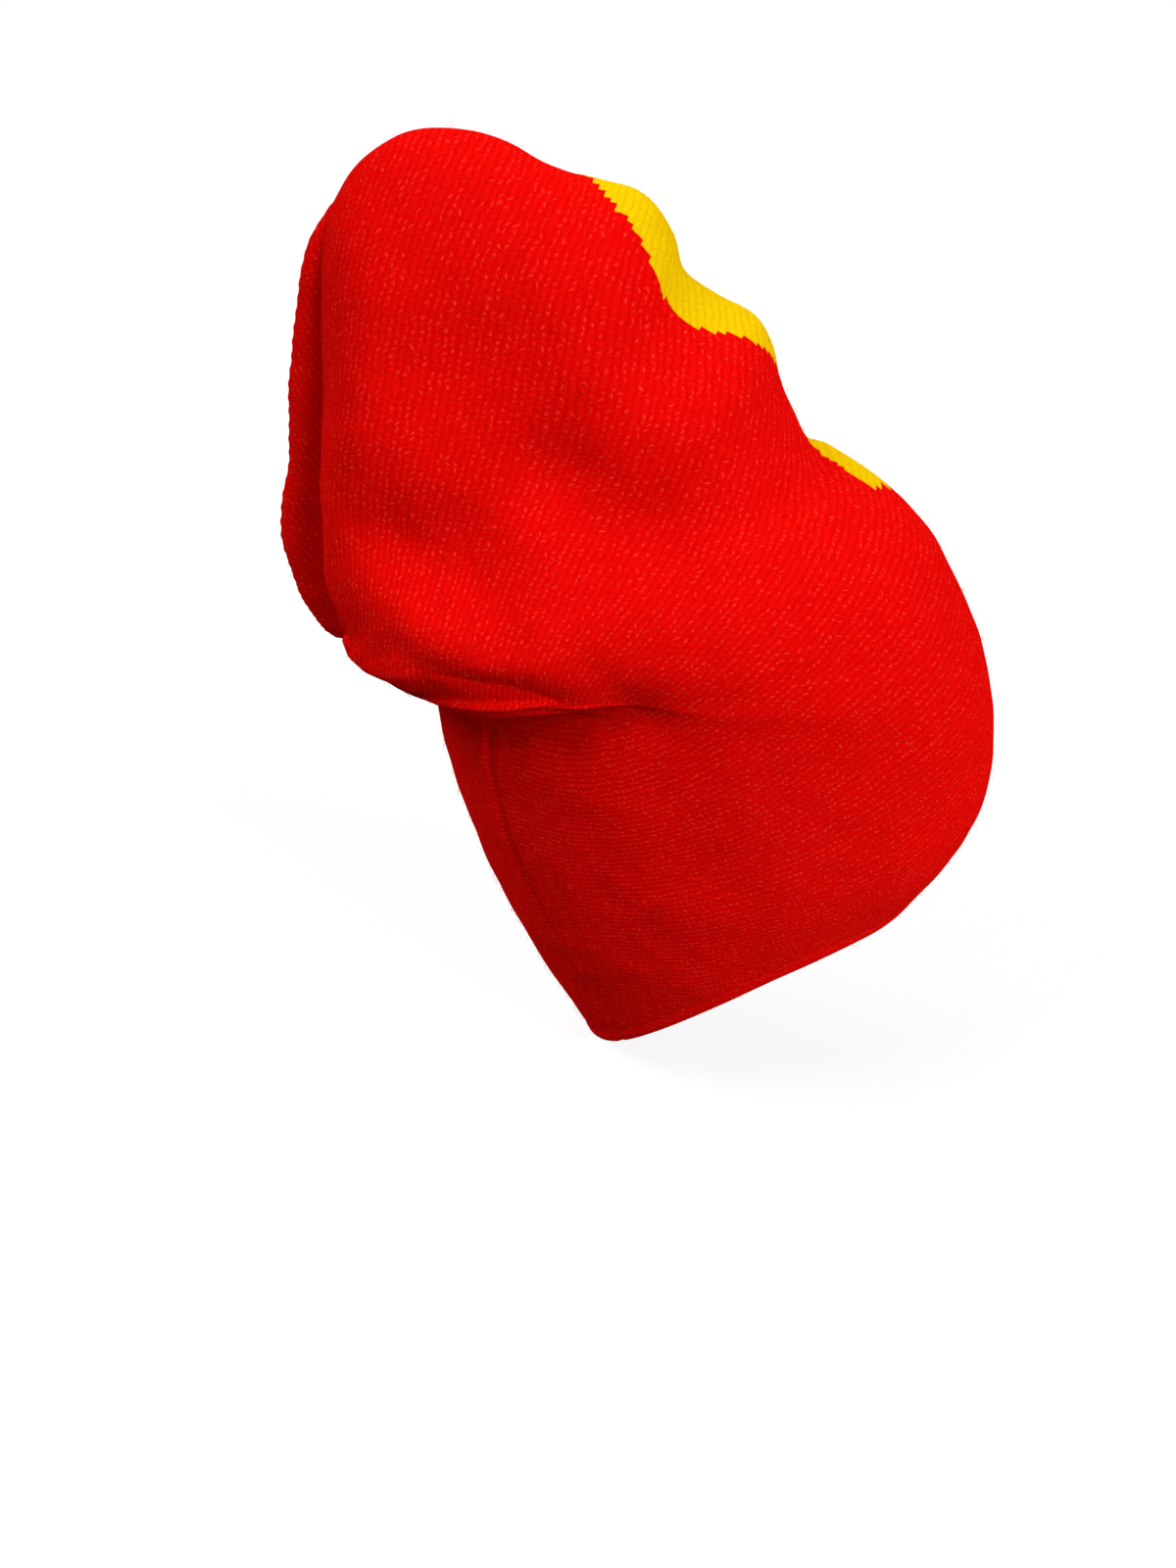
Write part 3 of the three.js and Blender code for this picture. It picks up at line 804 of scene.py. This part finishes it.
numbers = np.arange(len(rows))
in_lining = np.isin(rows[:, 0], (FOLD, LIP)) | (numbers % LINING_STEP == 0) | (numbers == 1)
lining_rows = numbers[in_lining & (numbers < len(rows) - LINING_STOP)]
lining = (plain - outward(plain) * knit_wall)[lining_rows, :-1]
lining = np.concatenate([lining, closing_ring(lining[-1])])
lining_uv = np.concatenate([stitches[lining_rows], stitches[lining_rows[-1:]] + (0, 1)])
down = unit(open_cloth[0] - open_cloth[1])
rim = np.concatenate([outer_face[:1], rim_rings(outer_face[0], lining[0], down), lining[:1]])
rim_uv = np.stack([stitches[0] - (0, 0.35 * k) for k in range(len(rim))])

red_sheet = Sheet()
outer_index = red_sheet.add_points(outer_face)
lining_index = red_sheet.add_points(lining)
rim_middle = red_sheet.add_points(rim[1:-1])
rim_index = np.concatenate([outer_index[:1], rim_middle, lining_index[:1]])
under_field = np.concatenate([yellow, yellow[-1:] & False])
red_sheet.add_faces(outer_index, outer_uv, flat=under_field)
red_sheet.add_faces(lining_index, lining_uv, flip=True)
red_sheet.add_faces(rim_index, rim_uv, flip=True)
red_cloth = new_piece("red_cloth", red_sheet)

yellow_sheet = Sheet()
top_index = yellow_sheet.add_points(open_cloth + open_normals * FIELD_LIFT)
depth = np.where(inside_field, FIELD_THICKNESS, FIELD_EDGE)
under_index = yellow_sheet.add_points(open_cloth - open_normals * depth[..., None])
yellow_sheet.add_faces(top_index, stitches, keep=yellow)
yellow_sheet.add_faces(under_index, stitches, keep=yellow, flip=True, flat=yellow)
yellow_sheet.add_walls(top_index, under_index, stitches, yellow)


def without_loose_points(sheet):
    """Takes the points that no face uses out of a sheet of faces with four corners."""
    used, places = np.unique(np.concatenate([np.asarray(face) for face in sheet.faces]), return_inverse=True)
    sheet.points = [sheet.points[i] for i in used]
    sheet.faces = places.reshape(-1, 4).tolist()


without_loose_points(yellow_sheet)
yellow_field = new_piece("yellow_field", yellow_sheet)

# %% [markdown]
# ## The strip at the sewn end
#
# The strip's stitches slant across it. A bead with slanted lobes gives that, with its own stitch numbers.

# %% The end strip
LOBE_PITCH = 0.0046
STRIP_OVERLAP = 0.0045  # how far the strip's inner edge lies inside the cloth
SLANT = math.radians(48)  # of the strip's stitches
LOBE_HEIGHT = 0.022  # a share of the half width
UNEVENNESS = 0.03
UNEVEN_PITCH = (0.0093, 0.0041)
PLUMPNESS = 0.6  # 1 is an oval, and less is fuller
STRIP_RINGS = 420
STRIP_SIDES = 30


def end_strip():
    share = np.linspace(END_STRIP[0, 0], END_STRIP[-1, 0], STRIP_RINGS)
    here, out = end_line(math.pi * share)
    seam, outer, half_thick = (through(END_STRIP[:, 0], END_STRIP[:, k], share) / 1000 for k in (1, 2, 3))
    inner = seam - STRIP_OVERLAP
    middle = here + out * ((outer + inner) / 2)[:, None]
    half_width = (outer - inner) / 2
    run = np.concatenate([[0], np.cumsum(length(np.diff(middle, axis=0)))])[:, None]
    turn = np.linspace(-np.pi, np.pi, STRIP_SIDES + 1)[None, :]
    round_way = turn * np.hypot(half_width, half_thick)[:, None] / math.sqrt(2)
    lobe = np.sin(2 * np.pi * (run + round_way * math.tan(SLANT)) / LOBE_PITCH)
    uneven = np.sin(run / UNEVEN_PITCH[0] + np.sin(run / UNEVEN_PITCH[1]))
    swell = 1 + LOBE_HEIGHT * lobe + UNEVENNESS * uneven
    reach = out[:, None] * (half_width[:, None] * np.cos(turn) * swell)[..., None]
    plump = np.sign(turn) * np.abs(np.sin(turn)) ** PLUMPNESS
    side = np.array((0, 1, 0)) * (half_thick[:, None] * plump * swell)[..., None]
    grid = tucked(middle[:, None] + reach + side)
    uv = np.stack([
        (round_way * math.cos(SLANT) - run * math.sin(SLANT)) / STITCH_PITCH,
        (round_way * math.sin(SLANT) + run * math.cos(SLANT)) / ROW_PITCH,
    ], axis=-1)
    sheet = Sheet()
    index = sheet.add_points(grid[:, :-1])
    sheet.add_faces(index, uv)
    for row, flip in ((0, True), (STRIP_RINGS - 1, False)):
        ring = [int(v) for v in index[row]]
        sheet.faces.append(ring[::-1] if flip else ring)
        sheet.smooth.append(True)
        sheet.uvs.extend(uv[row, :-1])
    return new_piece("end_strip", sheet)


end_piece = end_strip()

# %% [markdown]
# ## The knit as a shader
#
# At this size a stitch is a short dash in a low ridge, a little lighter where fibres catch the light: painted
# glints, with painted shade in the hollows between stitches. Relief in the mesh would need millions of faces,
# so a node group draws the stitches from each piece's stitch numbers.


# %% A helper for node trees
class Tree:
    """Adds nodes to a tree and links them. A value is a number, a vector or a socket."""

    def __init__(self, tree):
        self.tree = tree

    def node(self, kind, inputs=None, **settings):
        node = self.tree.nodes.new(kind)
        for name, value in settings.items():
            setattr(node, name, value)
        for name, value in (inputs or {}).items():
            self.put(node.inputs[name], value)
        return node

    def put(self, socket, value):
        if isinstance(value, bpy.types.NodeSocket):
            self.tree.links.new(value, socket)
        else:
            socket.default_value = value

    def math(self, operation, *values):
        node = self.node("ShaderNodeMath", operation=operation)
        for socket, value in zip(node.inputs, values):
            self.put(socket, value)
        return node.outputs[0]

    def vector(self, operation, first, second):
        node = self.node("ShaderNodeVectorMath", operation=operation)
        self.put(node.inputs[0], first)
        self.put(node.inputs["Scale" if operation == "SCALE" else 1], second)
        return node.outputs[0]

    def ramp(self, value, low, high, bottom=0.0, top=1.0):
        """value read smoothly from bottom at low to top at high."""
        given = {"Value": value, "From Min": low, "From Max": high, "To Min": bottom, "To Max": top}
        return self.node("ShaderNodeMapRange", given, interpolation_type="SMOOTHSTEP").outputs["Result"]

    def mix(self, share, low, high):
        node = self.node("ShaderNodeMix", data_type="RGBA")
        inputs = [socket for socket in node.inputs if socket.enabled]
        for socket, value in zip(inputs, (share, low, high)):
            self.put(socket, value)
        return next(socket for socket in node.outputs if socket.enabled)


# %% The stitch group
DASH_LENGTH = 0.84  # of the light dash, as a share of a stitch
DASH_WIDTH = 0.34  # as a share of a row


def make_stitch_group():
    """From stitch numbers to the knit's height, the painted glints where fibres catch the light, and the fibres
    in the yarn.
    """
    group = bpy.data.node_groups.new("knit_stitches", "ShaderNodeTree")
    group.interface.new_socket("Stitches", in_out="INPUT", socket_type="NodeSocketVector")
    for name, value in (("Unevenness", 1.1), ("Painted glint share", 0.5)):
        socket = group.interface.new_socket(name, in_out="INPUT", socket_type="NodeSocketFloat")
        socket.default_value = value
    for name in ("Height", "Painted glint", "Fibre"):
        group.interface.new_socket(name, in_out="OUTPUT", socket_type="NodeSocketFloat")
    t = Tree(group)
    given = t.node("NodeGroupInput").outputs
    uneven = t.node("ShaderNodeTexNoise", {"Vector": given["Stitches"], "Scale": 0.55, "Detail": 3.0})
    shift = t.vector("SUBTRACT", uneven.outputs["Color"], (0.5, 0.5, 0.5))
    moved = t.vector("ADD", given["Stitches"], t.vector("SCALE", shift, given["Unevenness"]))
    place = t.node("ShaderNodeSeparateXYZ", {0: moved}).outputs
    row = t.math("FLOOR", place["Y"])
    row_noise = t.node("ShaderNodeTexWhiteNoise", {"W": row}, noise_dimensions="1D").outputs["Value"]
    along_row = t.math("ADD", place["X"], t.math("MULTIPLY", row_noise, 7.0))
    stitch = t.math("FLOOR", along_row)
    across = t.math("FRACT", along_row)
    both = t.node("ShaderNodeCombineXYZ", {"X": stitch, "Y": row}).outputs[0]
    chance = t.node("ShaderNodeTexWhiteNoise", {"Vector": both}, noise_dimensions="3D")
    chances = t.node("ShaderNodeSeparateColor", {0: chance.outputs["Color"]}).outputs
    ridge = t.math("SINE", t.math("MULTIPLY", t.math("FRACT", place["Y"]), math.pi))
    bead = t.math("SINE", t.math("MULTIPLY", across, math.pi))
    size = t.math("MULTIPLY_ADD", chances["Blue"], 0.6, 0.5)
    body = t.math("MULTIPLY", t.math("MULTIPLY", ridge, t.math("MULTIPLY_ADD", bead, 0.35, 0.65)), size)
    body = t.math("MULTIPLY_ADD", body, 0.55, 0.2)
    tilt = t.math("MULTIPLY_ADD", chances["Green"], 1.3, -0.45)
    sideways = t.math("SUBTRACT", across, t.math("MULTIPLY_ADD", chances["Blue"], 0.2, 0.4))
    dash_middle = t.math("MULTIPLY_ADD", chances["Green"], 0.3, 0.35)
    upways = t.math("SUBTRACT", t.math("FRACT", place["Y"]), dash_middle)
    off = t.math("SUBTRACT", upways, t.math("MULTIPLY", sideways, tilt))
    lengthwise = t.math("POWER", t.math("DIVIDE", sideways, DASH_LENGTH / 2), 2.0)
    crosswise = t.math("POWER", t.math("DIVIDE", off, DASH_WIDTH / 2), 2.0)
    inside = t.math("ADD", lengthwise, crosswise)
    dash = t.ramp(inside, 0.0, 1.0, 1.0, 0.0)
    height = t.math("MULTIPLY_ADD", dash, 0.35, body)
    # The painted glint: the dash of some stitches, picked at random, which the material makes lighter where
    # fibres would catch the light.
    picked = t.ramp(chances["Red"], t.math("SUBTRACT", 1.0, given["Painted glint share"]), 1.0)
    painted_glint = t.math("MULTIPLY", dash, picked)
    stretched = t.vector("MULTIPLY", given["Stitches"], (1.4, 3.0, 1.0))
    fibre = t.node("ShaderNodeTexNoise", {
        "Vector": stretched, "Scale": 1.9, "Detail": 5.0, "Roughness": 0.65, "Distortion": 0.9,
    }).outputs["Fac"]
    out = t.node("NodeGroupOutput")
    t.put(out.inputs["Height"], t.math("MULTIPLY_ADD", fibre, 0.9, height))
    t.put(out.inputs["Painted glint"], painted_glint)
    t.put(out.inputs["Fibre"], fibre)
    return group


stitch_group = make_stitch_group()


# %% The two yarns
KNIT_HEIGHT = 0.00032  # of the stitches' bumps
PAINTED_GLINT_SHARE = 0.7  # of the stitches have a painted glint, where fibres catch the light
# How strongly the painted glints lighten the colour
PAINTED_GLINT_STRENGTH = 0.8

# Each yarn: the painted shade in the stitches' hollows, the ridges' own colour, and the painted glint where
# fibres catch the light.
RED_COLOURS = ((0.70, 0.0008, 0.0006, 1), (0.86, 0.0030, 0.0018, 1), (1.0, 0.04, 0.026, 1))
YELLOW_COLOURS = ((0.80, 0.46, 0.001, 1), (0.92, 0.59, 0.002, 1), (0.98, 0.67, 0.006, 1))
RED_FIBRE = (0.95, 0.02, 0.012, 1)
YELLOW_FIBRE = (1.0, 0.68, 0.006, 1)


def knit_material(name, colours):
    """A yarn's material. colours are those of its hollows, as painted shade, of its ridges, and of its painted
    glints where fibres catch the light.
    """
    deep, middle, light = colours
    material = bpy.data.materials.new(name)
    material.use_nodes = True
    material.node_tree.nodes.clear()
    t = Tree(material.node_tree)
    uv = t.node("ShaderNodeUVMap", uv_map="stitches").outputs["UV"]
    group = t.node("ShaderNodeGroup", node_tree=stitch_group)
    t.put(group.inputs["Stitches"], uv)
    t.put(group.inputs["Painted glint share"], PAINTED_GLINT_SHARE)
    # Painted shade: darker in the hollows between stitches and rows, from the stitch height; the fibres' noise
    # in that height adds a random tone.
    colour = t.mix(t.ramp(group.outputs["Height"], 0.45, 1.1), deep, middle)
    # Painted glints: lighter where fibres catch the light.
    colour = t.mix(t.math("MULTIPLY", group.outputs["Painted glint"], PAINTED_GLINT_STRENGTH), colour, light)
    raised = t.node("ShaderNodeBump", {"Height": group.outputs["Height"], "Distance": KNIT_HEIGHT})
    surface_node = t.node("ShaderNodeBsdfPrincipled", {
        "Base Color": colour, "Roughness": t.ramp(group.outputs["Fibre"], 0.3, 0.7, 0.85, 1.0),
        "Normal": raised.outputs[0], "Specular IOR Level": 0.0, "Sheen Weight": 0.06, "Sheen Roughness": 0.6,
        "Sheen Tint": light,
    })
    out = t.node("ShaderNodeOutputMaterial")
    t.put(out.inputs["Surface"], surface_node.outputs[0])
    return material


red_yarn = knit_material("red_wool", RED_COLOURS)
yellow_yarn = knit_material("yellow_wool", YELLOW_COLOURS)
red_cloth.data.materials.append(red_yarn)
end_piece.data.materials.append(red_yarn)
yellow_field.data.materials.append(yellow_yarn)

# %% [markdown]
# ## Loose fibres
#
# Wool sheds short fibres, which soften the outline. Geometry Nodes scatter points on the cloth's outer face and
# put a bent strand on each, turned and scaled at random from a fixed seed, and made real at the end.

# %% Fibres
FIBRES_PER_SQUARE_METRE = 30000
SMALLEST_FIBRE = 0.55
LARGEST_FIBRE = 1.35


def strand_mesh():
    """One bent strand, three-sided and tapered, about a millimetre tall."""
    spine = [(0, 0, 0), (0.0005, 0, 0.0006), (0.0014, 0.0003, 0.0010), (0.0024, 0.0010, 0.0011)]
    widths = [0.00005, 0.00005, 0.00004, 0.00001]
    points, faces = [], []
    for place, width in zip(spine, widths):
        for k in range(3):
            turn = 2 * math.pi * k / 3
            points.append((place[0], place[1] + width * math.cos(turn), place[2] + width * math.sin(turn)))
    for i in range(len(spine) - 1):
        for k in range(3):
            faces.append([3 * i + k, 3 * i + (k + 1) % 3, 3 * i + 3 + (k + 1) % 3, 3 * i + 3 + k])
    faces.append([2, 1, 0])
    faces.append([9, 10, 11])
    mesh = bpy.data.meshes.new("strand")
    mesh.from_pydata(points, [], faces)
    return bpy.data.objects.new("strand", mesh)


def fibre_tree():
    tree = bpy.data.node_groups.new("loose_fibres", "GeometryNodeTree")
    for name, kind in (("Geometry", "Geometry"), ("Density", "Float"), ("Strand", "Object"), ("Seed", "Int"),
                       ("Material", "Material")):
        tree.interface.new_socket(name, in_out="INPUT", socket_type="NodeSocket" + kind)
    tree.interface.new_socket("Geometry", in_out="OUTPUT", socket_type="NodeSocketGeometry")
    t = Tree(tree)
    given = t.node("NodeGroupInput").outputs
    scatter = t.node("GeometryNodeDistributePointsOnFaces", {
        "Mesh": given["Geometry"], "Density": given["Density"], "Seed": given["Seed"],
    })
    spin = t.node("FunctionNodeRandomValue", {"Seed": given["Seed"], 3: 2 * math.pi}, data_type="FLOAT")
    turn = t.node("ShaderNodeCombineXYZ", {"Z": spin.outputs[1]}).outputs[0]
    facing = {"Rotation": scatter.outputs["Rotation"], "Rotate By": turn}
    turned = t.node("FunctionNodeRotateRotation", facing, rotation_space="LOCAL")
    sizes = {"Seed": given["Seed"], 2: SMALLEST_FIBRE, 3: LARGEST_FIBRE}
    size = t.node("FunctionNodeRandomValue", sizes, data_type="FLOAT")
    strand = t.node("GeometryNodeObjectInfo", {"Object": given["Strand"]}).outputs["Geometry"]
    placed = t.node("GeometryNodeInstanceOnPoints", {
        "Points": scatter.outputs["Points"], "Instance": strand,
        "Rotation": turned.outputs[0], "Scale": size.outputs[1],
    })
    real = t.node("GeometryNodeRealizeInstances", {"Geometry": placed.outputs[0]})
    painted = t.node("GeometryNodeSetMaterial", {"Geometry": real.outputs[0], "Material": given["Material"]})
    t.put(t.node("NodeGroupOutput").inputs[0], painted.outputs[0])
    return tree


def scatter_fibres(name, ground, seed, material):
    """A piece of real fibres, scattered over a mesh that isn't kept."""
    carrier = bpy.data.objects.new(name + "_carrier", ground)
    bpy.context.scene.collection.objects.link(carrier)
    modifier = carrier.modifiers.new("fibres", "NODES")
    modifier.node_group = fibres
    sockets = {item.name: item.identifier for item in fibres.interface.items_tree if item.in_out == "INPUT"}
    modifier[sockets["Density"]] = FIBRES_PER_SQUARE_METRE
    modifier[sockets["Strand"]] = strand_object
    modifier[sockets["Seed"]] = seed
    modifier[sockets["Material"]] = material
    graph = bpy.context.evaluated_depsgraph_get()
    mesh = bpy.data.meshes.new_from_object(carrier.evaluated_get(graph), depsgraph=graph)
    mesh.name = name
    piece = bpy.data.objects.new(name, mesh)
    bpy.context.scene.collection.objects.link(piece)
    bpy.data.objects.remove(carrier)
    for polygon in mesh.polygons:
        polygon.use_smooth = True
    return piece


def plain_material(name, colour):
    material = bpy.data.materials.new(name)
    material.use_nodes = True
    shader = material.node_tree.nodes["Principled BSDF"]
    shader.inputs["Base Color"].default_value = colour
    shader.inputs["Roughness"].default_value = 0.8
    shader.inputs["Specular IOR Level"].default_value = 0.0
    return material


def ground_mesh(keep):
    sheet = Sheet()
    index = sheet.add_points(open_cloth)
    sheet.add_faces(index, stitches, keep=keep)
    without_loose_points(sheet)
    mesh = bpy.data.meshes.new("ground")
    mesh.from_pydata(sheet.points, [], sheet.faces)
    return mesh


strand_object = strand_mesh()
fibres = fibre_tree()
showing = np.broadcast_to((rows[:-1, 0] != FOLD)[:, None], yellow.shape)
red_fuzz = scatter_fibres(
    "red_fibres", ground_mesh(showing & ~yellow), 11, plain_material("red_fibre", RED_FIBRE))
yellow_fuzz = scatter_fibres(
    "yellow_fibres", ground_mesh(yellow), 12, plain_material("yellow_fibre", YELLOW_FIBRE))

# %% [markdown]
# ## The studio
#
# A pale floor touches the rim's lowest point. A wide light from the right front gives the cloth its form, one
# from above the nape lights the bag's back, and a wider one the far side. A faint sky fills the shade. The
# plain Standard view keeps the yarn as saturated as it is.

# %% The floor's paper
FLOOR_GREY = 0.2
FLOOR_GLOW = 0.82  # seen by the camera only
FLOOR_REACH = 6
SKY_LIGHT = 0.08  # what the sky gives as light, where the camera sees 1

LIGHTS = (  # name, energy, angle in degrees, the way to it
    ("key", 2.9, 30, (0.65, -0.58, 0.49)),
    ("fill", 1.75, 30, (-0.62, -0.16, 0.77)),
    ("back", 1.8, 60, (-0.25, 0.75, 0.6)),
)


def floor_paper():
    """Pale paper that throws little light back up, so that the cloth's underside stays in its shade."""
    material = plain_material("floor_paper", (FLOOR_GREY, FLOOR_GREY, FLOOR_GREY, 1))
    t = Tree(material.node_tree)
    shader = material.node_tree.nodes["Principled BSDF"]
    shader.inputs["Emission Color"].default_value = (1, 1, 1, 1)
    path = t.node("ShaderNodeLightPath").outputs["Is Camera Ray"]
    t.put(shader.inputs["Emission Strength"], t.math("MULTIPLY", path, FLOOR_GLOW))
    return material


# %% The studio
def make_studio():
    scene = bpy.context.scene
    scene.view_settings.view_transform = "Standard"
    world = bpy.data.worlds.new("studio")
    world.use_nodes = True
    scene.world = world
    t = Tree(world.node_tree)
    background = world.node_tree.nodes["Background"]
    path = t.node("ShaderNodeLightPath").outputs["Is Camera Ray"]
    t.put(background.inputs["Strength"], t.math("MULTIPLY_ADD", path, 1 - SKY_LIGHT, SKY_LIGHT))
    background.inputs["Color"].default_value = (1, 1, 1, 1)
    for name, energy, degrees, way in LIGHTS:
        light = bpy.data.lights.new(name, "SUN")
        light.energy = energy
        light.angle = math.radians(degrees)
        lamp = bpy.data.objects.new(name, light)
        scene.collection.objects.link(lamp)
        lamp.matrix_world = Vector(way).to_track_quat("Z", "Y").to_matrix().to_4x4()
    low = min(corner[2] for corner in red_cloth.bound_box)
    mesh = bpy.data.meshes.new("floor")
    corners = [(FLOOR_REACH * x, FLOOR_REACH * y, low) for x, y in ((-1, -1), (1, -1), (1, 1), (-1, 1))]
    mesh.from_pydata(corners, [], [(0, 1, 2, 3)])
    floor = bpy.data.objects.new("floor", mesh)
    scene.collection.objects.link(floor)
    floor.data.materials.append(floor_paper())


make_studio()

# %% [markdown]
# ## Handing the pieces over
#
# Every piece rides on the part's one body, and the solid model's three nodes are hidden where three of the
# pieces lie.

# %% Riding, and hiding the solid model's nodes
for piece, slot_name in ((red_cloth, "red_knit"), (yellow_field, "yellow_knit"), (end_piece, "red_knit"),
                         (red_fuzz, "red_knit"), (yellow_fuzz, "yellow_knit")):
    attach(piece, "root")
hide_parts("knit_body")
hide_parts("front_panel")
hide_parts("end_seam")

# %% Bringing the scene up to date
bpy.context.view_layer.update()
